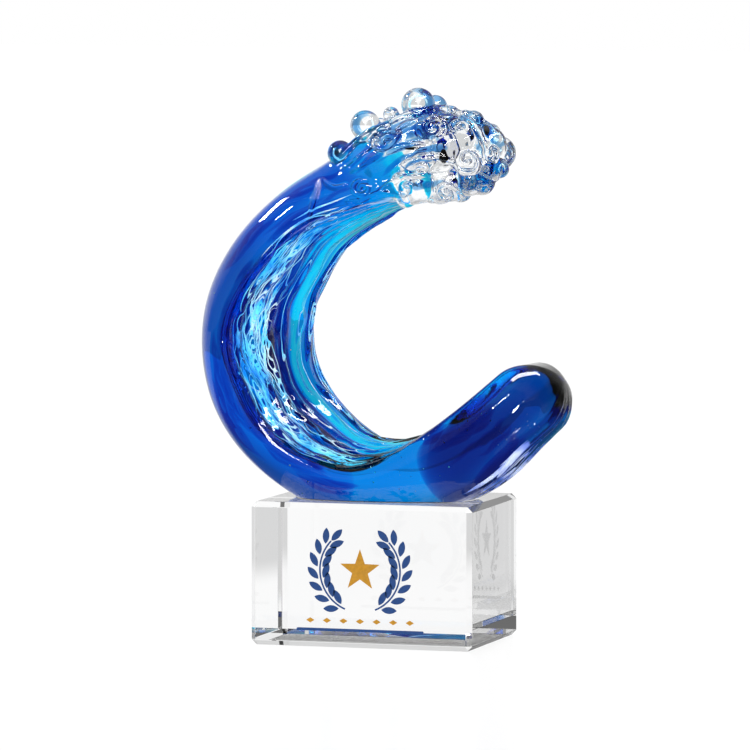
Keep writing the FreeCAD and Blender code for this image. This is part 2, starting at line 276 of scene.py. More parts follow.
def spline(rows, at, closed=False):
    """A smooth curve through evenly spaced rows, read at places counted in rows."""
    rows = np.asarray(rows, float)
    count = len(rows)
    matrix = 4.0 * np.eye(count) + np.eye(count, k=1) + np.eye(count, k=-1)
    before, after = np.roll(rows, 1, 0), np.roll(rows, -1, 0)
    bend = 6.0 * (before - 2.0 * rows + after)
    if closed:
        matrix[0, -1] = matrix[-1, 0] = 1.0
    else:
        matrix[0], matrix[-1] = np.eye(count)[0], np.eye(count)[-1]
        bend[0] = bend[-1] = 0.0
    second = np.linalg.solve(matrix, bend.reshape(count, -1)).reshape(rows.shape)
    at = np.asarray(at, float)
    low = np.floor(at).astype(int)
    if closed:
        part = at - low
        low, high = low % count, (low + 1) % count
    else:
        low = np.clip(low, 0, count - 2)
        part = at - low
        high = low + 1
    part = part.reshape(part.shape + (1,) * (rows.ndim - 1))
    rest = 1.0 - part
    return (
        rest * rows[low] + part * rows[high]
        + ((rest**3 - rest) * second[low] + (part**3 - part) * second[high]) / 6.0
    )


def spine(at):
    """Middle, direction towards the tail, and outward direction of the wave at places counted in stations."""
    at = np.asarray(at, float)
    step = 0.01
    middle = spline(spine_points, at)
    along = spline(spine_points, at + step) - spline(spine_points, at - step)
    along /= np.linalg.norm(along, axis=-1, keepdims=True)
    outward = np.stack([along[..., 2], np.zeros_like(along[..., 0]), -along[..., 0]], -1)
    return middle, along, outward


def section_outline(out, front, rim, depth):
    """Outline of one section as pairs, out from the middle and back from the middle."""
    pairs = [(a * out, b * depth) for a, b in outer_outline_shares]
    pairs += [(out - a * (out + front), b * depth) for a, b in cheek_outline_shares]
    for step in range(inner_face_points):
        share = step / (inner_face_points - 1)
        back = front_edge_share + (back_rim_share - front_edge_share) * share
        pairs.append((-front - (rim - front) * share, back * depth))
    pairs += [(-a * rim, b * depth) for a, b in back_outline_shares]
    return pairs


def core_outline(pairs):
    """The outline of the blue core inside one of the casing, thick at the rim."""
    inner = []
    for outward, back in pairs:
        turn = math.atan2(back, -outward) - math.radians(rim_direction)
        wall = casing_wall + (rim_wall - casing_wall) * max(0.0, math.cos(turn)) ** rim_fade
        keep = max(least_core_share, 1 - wall / math.hypot(outward, back))
        inner.append((outward * keep, back * keep))
    return inner


def outlines(core=False):
    """Outlines at every station, of the whole wave or of its blue core."""
    rows = []
    for _, _, out, front, rim, depth in station_shares:
        sizes = [share * wave_thickness for share in (out, front, rim)]
        pairs = section_outline(*sizes, depth * wave_depth)
        rows.append(core_outline(pairs) if core else pairs)
    return np.array(rows)


def sections(rows, at, round_it):
    """Section points read from the table of outlines, along the stations and round each outline."""
    count = rows.shape[1]
    turned = spline(np.swapaxes(rows, 0, 1), round_it * count, closed=True)
    return spline(np.swapaxes(turned, 0, 1), at)


def mesh_object(name, points, faces):
    """A smooth object from points and faces."""
    mesh = bpy.data.meshes.new(name)
    mesh.from_pydata([tuple(p) for p in points], [], [tuple(f) for f in faces])
    mesh.update()
    obj = bpy.data.objects.new(name, mesh)
    scene.collection.objects.link(obj)
    mesh.polygons.foreach_set("use_smooth", [True] * len(mesh.polygons))
    return obj


def tube_faces(rings, around):
    """Faces of a closed tube of rings with a point at each end."""
    faces = []
    for i in range(rings - 1):
        a = i * around
        for j in range(around):
            k = (j + 1) % around
            faces.append((a + j, a + k, a + around + k, a + around + j))
    first, last = rings * around, rings * around + 1
    end = (rings - 1) * around
    for j in range(around):
        k = (j + 1) % around
        faces.append((first, k, j))
        faces.append((last, end + j, end + k))
    return faces


def fix_normals(obj):
    """Turns every face outwards."""
    work = bmesh.new()
    work.from_mesh(obj.data)
    bmesh.ops.recalc_face_normals(work, faces=work.faces)
    work.to_mesh(obj.data)
    work.free()


def dome(middle, along, outward, pairs):
    """Rings that close the end of a swept body, from its last section on, and the tip."""
    length = (pairs[:, 0].max() - pairs[:, 0].min()) / 2
    rings = []
    for turn in np.radians(np.linspace(0, 90, dome_rings + 1)[1:-1]):
        centre = middle + along * length * math.sin(turn)
        ring = centre + outward * pairs[:, :1] * math.cos(turn)
        ring[:, 1] += pairs[:, 1] * math.cos(turn)
        rings.append(ring)
    return np.array(rings), middle + along * length


def swept(name, rows, first, last, rings, around, change=None):
    """A closed body swept along the stations, with a dome at each end."""
    at = np.linspace(first, last, rings)
    turn_by = np.arange(around) / around
    pairs = sections(rows, at, turn_by)
    middle, along, outward = spine(at)
    if change is not None:
        pairs = change(at, turn_by, pairs)
    points = middle[:, None] + outward[:, None] * pairs[..., :1]
    points[..., 1] += pairs[..., 1]
    start, start_tip = dome(middle[0], -along[0], outward[0], pairs[0])
    end, end_tip = dome(middle[-1], along[-1], outward[-1], pairs[-1])
    points = np.concatenate([start[::-1], points, end])
    corners = np.concatenate([points.reshape(-1, 3), [start_tip, end_tip]])
    obj = mesh_object(name, corners, tube_faces(len(points), around))
    fix_normals(obj)
    return obj


def tube(name, centres, widths, heights, over, around=12):
    """A closed tube along a line of points, with its own width and height at each."""
    along = np.gradient(centres, axis=0)
    along /= np.linalg.norm(along, axis=1, keepdims=True)
    side = np.cross(np.broadcast_to(over, along.shape), along)
    side /= np.linalg.norm(side, axis=1, keepdims=True)
    high = np.cross(along, side)
    angle = (2 * math.pi * np.arange(around) / around)[None, :, None]
    rings = (
        centres[:, None] + side[:, None] * np.cos(angle) * np.reshape(widths, (-1, 1, 1))
        + high[:, None] * np.sin(angle) * np.reshape(heights, (-1, 1, 1))
    )
    points = np.concatenate([rings.reshape(-1, 3), centres[:1], centres[-1:]])
    obj = mesh_object(name, points, tube_faces(len(centres), around))
    fix_normals(obj)
    return obj


def ball(name, middle, radius, stretch=(1, 1, 1), axes=None, rows=20, around=32):
    """A round lump, pressed along its axes."""
    points = []
    for i in range(1, rows):
        turn = math.pi * i / rows
        ring = math.sin(turn)
        for j in range(around):
            swing = 2 * math.pi * j / around
            points.append((ring * math.cos(swing), ring * math.sin(swing), math.cos(turn)))
    points = np.array(points + [(0, 0, 1), (0, 0, -1)]) * radius * np.array(stretch)
    if axes is not None:
        points = points @ np.array(axes)
    return mesh_object(name, points + middle, tube_faces(rows - 1, around))


def join(objects, name):
    """One object of several, under a name of its own."""
    with bpy.context.temp_override(active_object=objects[0], selected_editable_objects=objects):
        bpy.ops.object.join()
    objects[0].name = name
    return objects[0]


def longest_loop(edges):
    """The corners of the longest closed chain of edges, anticlockwise as seen from above."""
    left = set(edges)
    loops = []
    while left:
        edge = left.pop()
        chain = list(edge.verts)
        while True:
            after = [e for e in chain[-1].link_edges if e in left]
            if not after:
                break
            left.discard(after[0])
            chain.append(after[0].other_vert(chain[-1]))
        loops.append([Vector(v.co) for v in chain[:-1]])
    loop = max(loops, key=len)
    area = sum(a.x * b.y - b.x * a.y for a, b in zip(loop, loop[1:] + loop[:1]))
    # A set gives its edges in any order, and the block's bonded patch is marked right only this way round
    return loop[::-1] if area < 0 else loop


def cut_flat(obj, height):
    """Takes away what lies below a height and closes the cut."""
    work = bmesh.new()
    work.from_mesh(obj.data)
    cut = bmesh.ops.bisect_plane(
        work, geom=work.verts[:] + work.edges[:] + work.faces[:], plane_co=(0, 0, height),
        plane_no=(0, 0, -1), clear_outer=True,
    )
    edges = [e for e in cut["geom_cut"] if isinstance(e, bmesh.types.BMEdge)]
    if not edges:
        work.free()
        return []
    loop = longest_loop(edges)
    bmesh.ops.holes_fill(work, edges=edges)
    bmesh.ops.recalc_face_normals(work, faces=work.faces)
    for face in work.faces:
        if face.normal.z < -0.99 and abs(face.calc_center_median().z - height) < 0.01 * mm:
            face.smooth = False
    work.to_mesh(obj.data)
    work.free()
    return loop


def melted(body, lumps, voxel, passes):
    """The body and all the lumps melted into one smooth skin."""
    whole = join([body] + lumps, body.name)
    remesh = whole.modifiers.new("melt", "REMESH")
    remesh.mode = "VOXEL"
    remesh.voxel_size = voxel
    smooth = whole.modifiers.new("fire_polish", "SMOOTH")
    smooth.factor = 0.5
    smooth.iterations = passes
    bpy.context.view_layer.update()
    done = whole.evaluated_get(bpy.context.evaluated_depsgraph_get())
    mesh = bpy.data.meshes.new_from_object(done)
    whole.modifiers.clear()
    whole.data = mesh
    mesh.polygons.foreach_set("use_smooth", [True] * len(mesh.polygons))
    return whole


def seen_tree(obj):
    """The object's surface, for lines of sight to meet."""
    bpy.context.view_layer.update()
    return BVHTree.FromObject(obj, bpy.context.evaluated_depsgraph_get())


def step_up(x, low, high):
    """A smooth step from 0 to 1 as x goes from low to high."""
    part = np.clip((x - low) / (high - low), 0, 1)
    return part * part * (3 - 2 * part)


def spindle(count, power=0.7):
    """Shares of a radius along a thread that is thin at both ends."""
    return np.sin(math.pi * np.linspace(0.004, 0.996, count)) ** power


def smoothed(centres, passes):
    """A line of points with its kinks taken out."""
    for _ in range(passes):
        centres[1:-1] = (centres[:-2] + 2 * centres[1:-1] + centres[2:]) / 4
    return centres


def waves(x, y, seed, octaves=1):
    """Smooth noise over a grid of two coordinates, about -1 to 1."""
    flat = [noise.fractal(Vector((a, b, seed)), 0.5, 2.0, octaves) for a, b in zip(x.ravel(), y.ravel())]
    return np.array(flat).reshape(x.shape)


def outline_normals(pairs):
    """Directions out of the glass in the plane of each section."""
    along = np.roll(pairs, -1, 1) - np.roll(pairs, 1, 1)
    along /= np.maximum(np.linalg.norm(along, axis=-1, keepdims=True), 1e-9)
    out = np.stack([along[..., 1], -along[..., 0]], -1)
    middle = pairs.mean(1, keepdims=True)
    sign = np.sign((out * (pairs - middle)).sum(-1).mean())
    return out * sign


def worked_surface(at, turn_by, pairs):
    """Ridges drawn along the inner face and the tail, threads, and the pinched folds of the crest."""
    t, u = np.meshgrid(at, turn_by * outline_points, indexing="ij")
    face = (u - first_inner_point) / inner_face_span
    on_face = step_up(face, -0.12, 0.06) * (1 - step_up(face, 0.94, 1.1))
    on_lace = step_up(face, -0.25, -0.05) * (1 - step_up(face, 0.45, 0.65))
    in_curl = step_up(t, 1.6, 3.2) * (1 - step_up(t, 11.6, 13.2))
    on_tail = step_up(t, 12.2, 13.6) * step_up(u, 0.8, 1.8) * (1 - step_up(u, 4.4, 5.4))
    at_crest = 1 - step_up(t, 1.6, 3.4)

    drift = 0.9 * waves(t * 0.55, face * 1.2, 3.0) + 0.35 * waves(t * 1.3, face * 2.5, 9.0)
    swell = 0.75 + 0.45 * waves(t * 0.7, face * 3.0, 21.0)
    furrow = np.abs(np.cos(math.pi * (ridge_lines * face + drift)))
    ridges = (1 - furrow ** 0.8) * swell * ridge_height * on_face * in_curl
    lace = (1 - 2 * np.abs(waves(t * 1.5, face * 7.0, 33.0, 2))) * lace_height * on_lace * in_curl
    threads = waves(t * 1.8, u * 4.5, 51.0, 2) * thread_height * on_face * in_curl
    tail_furrow = np.abs(np.cos(math.pi * (u * 1.5 + 0.5 * waves(t * 0.8, u * 0.6, 71.0))))
    tail_ridges = (1 - tail_furrow) * tail_ridge_height * on_tail
    folds = waves(t * 1.6, u * 0.9, 83.0) * fold_height * at_crest * (1 - 0.6 * on_face)
    lift = ridges + lace + threads + tail_ridges + folds
    return pairs + outline_normals(pairs) * lift[..., None]


def seen_at(tree, across, down):
    """Where the line of sight through a pixel of the photograph meets the glass, and the way out of it."""
    middle = (frame_pixels - 1) / 2
    right = view_right * ((across - middle) / focal_pixels)
    fall = view_up * ((down - middle) / focal_pixels)
    sight = (right - fall - view_back).normalized()
    spot, out, *_ = tree.ray_cast(view_place, sight)
    if spot is None:
        beside = view_place + sight * (view_place.y / -sight.y)
        spot, out, *_ = tree.find_nearest(beside)
    return np.array(spot), np.array(out)


def traced(tree, pixels, count, depth=0.0):
    """Points at a depth under the glass, along a smooth line through pixels of the photograph."""
    marks = np.array(pixels, float)
    line = spline(marks, np.linspace(0, len(marks) - 1, count))
    spots = [seen_at(tree, across, down) for across, down in line]
    return np.array([spot - out * depth for spot, out in spots])


def seat(tree, along, turn, lean):
    """Where a line out of the crest's middle leaves the glass, and its directions."""
    lengths = np.linspace(0, 6, 601)
    path = spline(spine_points, lengths)
    run = np.concatenate([[0], np.cumsum(np.linalg.norm(np.diff(path, axis=0), axis=1))])
    at = float(np.interp(along * crest_length, run, lengths))
    middle, tangent, outward = spine(np.array([at]))
    middle, tangent, outward = middle[0], tangent[0], outward[0]
    turn, lean = math.radians(turn), math.radians(lean)
    round_it = outward * math.cos(turn) + np.array([0, -math.sin(turn), 0])
    direction = round_it * math.cos(lean) - tangent * math.sin(lean)
    far = Vector(middle + direction * 2 * wave_thickness)
    hit = tree.ray_cast(far, Vector(-direction))
    return np.array(hit[0]), direction, tangent


def rightwards(out):
    """The direction nearest the viewer's right that is square to the one given."""
    right = np.array(view_right) - out * np.dot(view_right, out)
    return right / np.linalg.norm(right)


def square_to(direction):
    """A direction square to the one given."""
    square = np.cross(direction, np.array([0.3, 0.9, 0.1]))
    return square / np.linalg.norm(square)


def curl(name, middle, out, radius, turns, tube_radius, tilt, squeeze):
    """A rope of glass wound into a flat spiral on the surface."""
    out = out / np.linalg.norm(out)
    right = rightwards(out)
    up = np.cross(out, right)
    tilt = math.radians(tilt)
    first = right * math.cos(tilt) + up * math.sin(tilt)
    second = np.cross(out, first)
    share = np.linspace(0, 1, int(28 * turns))[:, None]
    swing = 2 * math.pi * turns * share
    reach = radius * (1 - 0.86 * share)
    round_it = first * np.cos(swing) + second * squeeze * np.sin(swing)
    centres = middle + round_it * reach + out * tube_radius * 0.9 * share
    sizes = tube_radius * np.minimum(1.0, 0.15 + 4.0 * share[:, 0]) * (1.0 - 0.35 * share[:, 0])
    return tube(name, centres, sizes, sizes, out)


def rope(name, tree, pixels, radius):
    """A rope of glass lying half sunk along the surface."""
    centres = smoothed(traced(tree, pixels, 40), 3)
    share = np.linspace(0, 1, len(centres))
    sizes = radius * (0.25 + 0.75 * np.sin(math.pi * share) ** 0.6)
    return tube(name, centres, sizes, sizes, np.array(view_back))


def crest_lumps(tree):
    """Everything that was melted onto the crest, and where its drops are."""
    lumps, drops = [], []
    neck_rings = 12
    for number, (along, turn, lean, size, proud) in enumerate(lobe_shares + drop_shares):
        surface, direction, _ = seat(tree, along, turn, lean)
        radius = size * lump_radius
        middle = surface + direction * 0.72 * proud * radius
        lumps.append(ball("lump_%02d" % number, middle, radius))
        if number < len(lobe_shares):
            continue
        drops.append((middle, radius))
        root = surface - direction * 0.8 * radius
        line = root + (middle - root) * np.linspace(0, 1, neck_rings)[:, None]
        waist = radius * np.linspace(1.15, 0.80, neck_rings)
        lumps.append(tube("neck_%02d" % number, line, waist, waist, square_to(direction), 20))
    for number, (along, turn, level, length, height) in enumerate(bead_shares):
        surface, direction, tangent = seat(tree, along, turn, 0)
        across = np.cross(direction, -tangent)
        spin = math.radians(level)
        first = -tangent * math.cos(spin) + across * math.sin(spin)
        second = np.cross(direction, first)
        stretch = (length, height, bead_thickness / (2 * lump_radius))
        lumps.append(ball("bead_%02d" % number, surface, lump_radius, stretch, (first, second, direction)))
    for number, (across, down, radius, proud) in enumerate(front_lumps):
        surface, out = seen_at(tree, across, down)
        lumps.append(ball("front_%02d" % number, surface + out * proud * radius * mm, radius * mm))
    return lumps, drops


def crest_drawing(tree):
    """The curls and ropes drawn over the melted lumps."""
    drawn = []
    for number, (across, down, radius, thick, turns, tilt, squeeze) in enumerate(front_curls):
        surface, out = seen_at(tree, across, down)
        out = out + 0.8 * np.array(view_back)
        drawn.append(curl("curl_%02d" % number, surface, out, radius * mm, turns, thick * mm, tilt, squeeze))
    for number, (pixels, radius) in enumerate(front_ropes):
        drawn.append(rope("rope_%02d" % number, tree, pixels, radius * mm))
    return drawn


def vertex_rows(mesh, what):
    """The places or the normals of a mesh's corners, in rows of three."""
    rows = np.empty(len(mesh.vertices) * 3, np.float32)
    mesh.vertices.foreach_get(what, rows)
    return rows.reshape(-1, 3)


def wrinkle(obj, drops):
    """Fine folds over the crest between its smooth drops."""
    mesh = obj.data
    points = vertex_rows(mesh, "co").astype(float)
    normals = vertex_rows(mesh, "normal")
    weight = step_up(points[:, 0], *wrinkles_across) * step_up(points[:, 2], *wrinkles_up)
    for middle, radius in drops:
        away = np.linalg.norm(points - middle, axis=1)
        weight *= step_up(away, radius * 1.02, radius * 1.25)
    for index in np.nonzero(weight > 0.01)[0]:
        place = Vector(points[index] / mm)
        fold = noise.noise(place * 0.13) + 0.35 * noise.noise(place * 0.31 + Vector((5, 2, 9)))
        points[index] += normals[index] * wrinkle_height * weight[index] * fold
    mesh.vertices.foreach_set("co", points.ravel().astype(np.float32))
    mesh.update()


def material(name):
    """An empty material with its tree and output."""
    made = bpy.data.materials.new(name)
    made.use_nodes = True
    tree = made.node_tree
    tree.nodes.clear()
    out = tree.nodes.new("ShaderNodeOutputMaterial")
    return made, tree, out


def cloud(tree, scale, detail=2.0):
    """A noise over the piece's own coordinates."""
    place = tree.nodes.new("ShaderNodeTexCoord")
    made = tree.nodes.new("ShaderNodeTexNoise")
    made.inputs["Scale"].default_value = scale
    made.inputs["Detail"].default_value = detail
    tree.links.new(place.outputs["Object"], made.inputs["Vector"])
    return made.outputs["Fac"]


def ramp(tree, value, stops):
    """A colour led by a value, from places between 0 and 1 and the colours there."""
    made = tree.nodes.new("ShaderNodeValToRGB")
    tree.links.new(value, made.inputs["Fac"])
    elements = made.color_ramp.elements
    while len(elements) < len(stops):
        elements.new(0.5)
    for element, (place, colour) in zip(elements, stops):
        element.position = place
        element.color = (*colour, 1)
    return made.outputs["Color"]


def spread(tree, value, low, high):
    """A colour between two, led by a value."""
    return ramp(tree, value, [(0.3, low), (0.7, high)])


def math_node(tree, operation, *values):
    """A sum or product of numbers and of other nodes' outputs."""
    made = tree.nodes.new("ShaderNodeMath")
    made.operation = operation
    for slot, value in enumerate(values):
        if isinstance(value, (int, float)):
            made.inputs[slot].default_value = value
        else:
            tree.links.new(value, made.inputs[slot])
    return made.outputs[0]


def smooth_range(tree, value, low, high, at_low, at_high):
    """A smooth step between two results as a value goes from low to high."""
    made = tree.nodes.new("ShaderNodeMapRange")
    made.interpolation_type = "SMOOTHSTEP"
    ends = (("From Min", low), ("From Max", high), ("To Min", at_low), ("To Max", at_high))
    for slot, end in ends:
        made.inputs[slot].default_value = end
    tree.links.new(value, made.inputs["Value"])
    return made.outputs["Result"]


def along_way(tree, place, direction):
    """How far a place lies along a direction."""
    made = tree.nodes.new("ShaderNodeVectorMath")
    made.operation = "DOT_PRODUCT"
    made.inputs[1].default_value = direction
    tree.links.new(place, made.inputs[0])
    return made.outputs["Value"]


def multiplied(tree, first, second):
    """Two greys of light multiplied."""
    made = tree.nodes.new("ShaderNodeMix")
    made.data_type = "RGBA"
    made.blend_type = "MULTIPLY"
    made.inputs["Factor"].default_value = 1.0
    tree.links.new(first, made.inputs["A"])
    tree.links.new(second, made.inputs["B"])
    return made.outputs["Result"]


def light_paths(tree):
    """The kinds of ray, and whether a ray comes off a polished face."""
    path = tree.nodes.new("ShaderNodeLightPath")
    reflected = path.outputs["Is Reflection Ray"]
    return path, math_node(tree, "SUBTRACT", reflected, path.outputs["Is Diffuse Ray"])


def bumped(tree, shader, value, strength, distance):
    """Small unevenness on a shader, led by a value."""
    bump = tree.nodes.new("ShaderNodeBump")
    bump.inputs["Strength"].default_value = strength
    bump.inputs["Distance"].default_value = distance
    tree.links.new(value, bump.inputs["Height"])
    tree.links.new(bump.outputs["Normal"], shader.inputs["Normal"])


def surface(name, fixed):
    """A material with one shader over its surface, and the values that the shader holds fixed."""
    made, tree, out = material(name)
    shader = tree.nodes.new("ShaderNodeBsdfPrincipled")
    for slot, value in fixed.items():
        shader.inputs[slot].default_value = value
    tree.links.new(shader.outputs["BSDF"], out.inputs["Surface"])
    return made, tree, shader


def clear_glass(name, ior, tint, ripple, gloss=0.5):
    """Clear glass with a slight cast that drifts and a faint ripple of fire or polishing."""
    fixed = {"Transmission Weight": 1.0, "IOR": ior, "Roughness": 0.0, "Specular IOR Level": gloss}
    made, tree, shader = surface(name, fixed)
    tree.links.new(spread(tree, cloud(tree, 40), tint, (1, 1, 1)), shader.inputs["Base Color"])
    bumped(tree, shader, cloud(tree, 260, 3.0), 1.0, ripple)
    return made


def matched(name):
    """Glass that meets glass of the same kind, so light goes straight through."""
    made, tree, shader = surface(name, {"Transmission Weight": 1.0, "IOR": 1.001, "Roughness": 0.0})
    tree.links.new(spread(tree, cloud(tree, 120), (0.985, 1.0, 1.0), (1, 1, 1)), shader.inputs["Base Color"])
    return made


def tinted_volume(name, per_metre):
    """Glass that takes each colour away at a rate per metre."""
    made, tree, out = material(name)
    most = max(per_metre)
    shader = tree.nodes.new("ShaderNodeVolumeAbsorption")
    shader.inputs["Color"].default_value = (*[1 - rate / most for rate in per_metre], 1)
    shader.inputs["Density"].default_value = most
    tree.links.new(shader.outputs["Volume"], out.inputs["Volume"])
    return made


def glowing_pale_glass(name, deep, middling, light):
    """Pale streaky glass, almost opaque, drifting through three colours, with a painted glow: it gives off
    light in the same colours though it is no lamp.
    """
    fixed = {"Transmission Weight": 0.35, "IOR": 1.05, "Roughness": 0.5, "Emission Strength": 0.3}
    made, tree, shader = surface(name, fixed)
    colour = ramp(tree, cloud(tree, 90, 3.0), [(0.38, deep), (0.48, middling), (0.60, light)])
    # Painted glow: the streak colours are also given off as light, so the streaks shine as painted
    # highlights.
    tree.links.new(colour, shader.inputs["Emission Color"])
    tree.links.new(colour, shader.inputs["Base Color"])
    return made


def ink(name, colour):
    """Printed ink: slightly uneven colour and gloss, and a fine grain."""
    made, tree, shader = surface(name, {})
    deep = [0.8 * part for part in colour]
    tree.links.new(spread(tree, cloud(tree, 900, 4.0), deep, colour), shader.inputs["Base Color"])
    tree.links.new(spread(tree, cloud(tree, 500, 3.0), (0.3,) * 3, (0.5,) * 3), shader.inputs["Roughness"])
    bumped(tree, shader, cloud(tree, 4000, 2.0), 0.3, 0.01 * mm)
    return made


def dressed(obj, made):
    """Gives an object a material in place of any that it has."""
    obj.data.materials.clear()
    obj.data.materials.append(made)


def inner_piece(obj, made):
    """Gives a body inside the wave its glass and its place in the part."""
    dressed(obj, made)
    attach(obj, "root")
    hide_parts("wave_core")


def flow_line(rows, start, end, face, wander, seed, depth, count):
    """A line that drifts along under the inner face, from one station to another."""
    at = np.linspace(start, end, count)
    middle, _, outward = spine(at)
    sections_here = spline(rows, at)
    line = []
    for index, t in enumerate(at):
        drift = noise.noise(Vector((t * 0.8, seed, 0))) + 0.35 * noise.noise(Vector((t * 2.2, seed, 5)))
        u = first_inner_point + inner_face_span * (face + drift * wander)
        pairs = spline(sections_here[index], np.array([u - 0.05, u, u + 0.05]), closed=True)
        tangent = pairs[2] - pairs[0]
        out = np.array([tangent[1], -tangent[0]])
        out /= np.linalg.norm(out)
        if np.dot(out, pairs[1] - sections_here[index].mean(0)) < 0:
            out = -out
        n, y = pairs[1] - out * depth
        line.append(middle[index] + outward[index] * n + np.array([0, y, 0]))
    return np.array(line)


def flow_rows(count, first, last, long, least, most, wander, thin, thick, shift=0.0):
    """Rows of first and last station, place across the face, drift and radius in mm."""
    rows = []
    for index in range(count):
        late, more, over, wide = ((index + shift) * step % 1.0 for step in scatter_steps)
        start = first + (last - first) * late
        face = least + (most - least) * over
        rows.append((start, start + long * (0.5 + more), face, wander, thin + (thick - thin) * wide))
    return rows


def streak_table():
    """Streaks under the skin: name, rows, depth, flatness, and a glowing pale glass or the rates of a tinted
    one.
    """
    fine = flow_rows(34, 3.0, 9.8, 2.4, 0.06, 0.50, 0.20, 0.12, 0.28)
    rim = [
        (3.2, 12.0, 0.62, 0.03, 0.20), (3.6, 12.2, 0.82, 0.03, 0.18),
        (3.2, 12.0, 0.97, 0.02, 0.30), (3.6, 11.6, 1.08, 0.02, 0.34),
    ]
    neck_threads = flow_rows(10, 2.8, 3.7, 1.2, -0.45, 0.3, 0.2, 0.10, 0.26, 6.6)
    ribbons = flow_rows(40, 3.8, 10.0, 1.5, 0.14, 0.44, 0.22, 0.22, 0.58, 3.3)
    deep = flow_rows(26, 4.0, 9.8, 1.3, 0.16, 0.42, 0.16, 0.35, 0.8, 7.7)
    tail = flow_rows(26, 12.2, 13.6, 1.6, -1.80, -0.95, 0.12, 0.16, 0.60, 1.4)
    eyes = flow_rows(40, 3.6, 10.4, 0.75, 0.04, 0.50, 0.10, 0.9, 1.8, 5.1)
    patches = [
        (7.6, 9.6, 0.30, 0.10, 2.6), (8.6, 10.4, 0.42, 0.10, 2.4), (5.0, 6.4, 0.22, 0.10, 1.8),
        (9.1, 10.8, 0.34, 0.05, 2.6), (8.8, 10.4, 0.52, 0.05, 2.6),
    ]
    bands = [
        (3.8, 11.8, 0.50, 0.05, 2.4), (4.2, 11.2, 0.57, 0.06, 2.4),
        (4.8, 10.4, 0.64, 0.05, 2.2), (3.8, 11.6, 0.69, 0.04, 2.0),
    ]
    azure = [(3.3, 12.2, 0.73, 0.03, 2.0), (3.3, 12.2, 0.93, 0.03, 2.2)]
    cheek = flow_rows(30, 4.2, 10.2, 1.5, -0.95, -0.15, 0.20, 0.7, 1.9, 2.2)
    neck = flow_rows(12, 2.6, 3.6, 1.2, -1.5, 0.1, 0.25, 0.8, 1.8, 4.4)
    shades = flow_rows(12, 12.4, 13.4, 1.5, -1.2, -0.1, 0.2, 1.4, 3.0, 9.1)
    return [
        # The pale and lilac streaks glow: partly painted highlights of light that the ridges focus, partly
        # pale threads in the glass.
        ("glowing_white_threads", fine + rim + neck_threads, 1.3 * mm, 0.5, "pale"),
        ("glowing_aqua_ribbons", ribbons, 2.8 * mm, 0.40, "pale"),
        ("glowing_azure_ribbons", deep, 4.6 * mm, 0.35, "pale"),
        ("glowing_tail_streaks", tail, 1.2 * mm, 0.4, "lilac"),
        ("navy_eyes", eyes + patches, 3.6 * mm, 0.8, eye_rates),
        ("navy_bands", bands, 4.4 * mm, 0.7, navy_band_rates),
        ("azure_bands", azure, 4.6 * mm, 0.8, azure_band_rates),
        ("cheek_streaks", cheek + neck, 3.2 * mm, 0.8, cheek_streak_rates),
        ("tail_shades", shades, 3.4 * mm, 0.6, tail_shade_rates),
    ]


def build_streaks(glowing_streak_glasses):
    """Streaks of glass drawn out along the wave, lying under its skin."""
    rows = outlines()
    count = 60
    backwards = np.array([0, 1.0, 0.0])
    for name, table, depth, flat, kind in streak_table():
        made = glowing_streak_glasses[kind] if kind in glowing_streak_glasses else tinted_volume(name + "_volume", kind)
        pieces = []
        for number, (first, last, face, wander, radius) in enumerate(table):
            last = min(last, last_streak_station)
            line = flow_line(rows, first, last, face, wander, 11.0 + 3.7 * number, depth, count)
            sizes = radius * mm * spindle(count)
            pieces.append(tube("%s_%02d" % (name, number), line, sizes, sizes * flat, backwards, 10))
        inner_piece(join(pieces, name), made)


def build_bodies():
    """The blue core, and the cobalt of the cheek and the navy of the tail inside it."""
    core = swept("wave_blue", outlines(core=True), core_first, last_station, 240, 96)
    cut_flat(core, bottom_of_wave + core_clearance)
    inner_piece(core, tinted_volume("azure_volume", azure_rates))

    rows = outlines(core=True)
    rows[..., 0] = rows[..., 0] * cheek_width_share + cheek_shift
    rows[..., 1] *= cheek_depth_share
    cheek = swept("cobalt_cheek", rows, *cheek_stations, 160, 60)
    cut_flat(cheek, bottom_of_wave + inner_clearance)
    inner_piece(cheek, tinted_volume("cobalt_volume", cobalt_rates))

    tail = swept("navy_tail", outlines(core=True) * tail_share, tail_first, last_station, 60, 60)
    cut_flat(tail, bottom_of_wave + inner_clearance)
    inner_piece(tail, tinted_volume("navy_volume", navy_tail_rates))


def facing_view(turn):
    """Directions square to the line of sight, turned from the right towards the top."""
    return np.array(view_right) * np.cos(turn) + np.array(view_up) * np.sin(turn)


def drop_threads(drops):
    """An arc of blue and a fine pale swirl inside each larger drop."""
    arcs, swirls = [], []
    back = np.array(view_back)
    for number, (middle, radius) in enumerate(drops):
        if radius < least_swirled_drop:
            continue
        turn = np.linspace(0, 1, 30)[:, None] * math.radians(250) + number
        line = middle + facing_view(turn) * radius * 0.52 + back * np.sin(turn * 0.5) * radius * 0.3
        sizes = radius * 0.26 * spindle(30, 0.8)
        arcs.append(tube("drop_blue_%02d" % number, line, sizes, sizes * 0.7, back))
        line = middle + facing_view(turn + 2.2) * radius * 0.42 + back * radius * 0.35
        sizes = radius * 0.07 * spindle(30, 0.8)
        swirls.append(tube("drop_pale_%02d" % number, line, sizes, sizes, back))
    return arcs, swirls


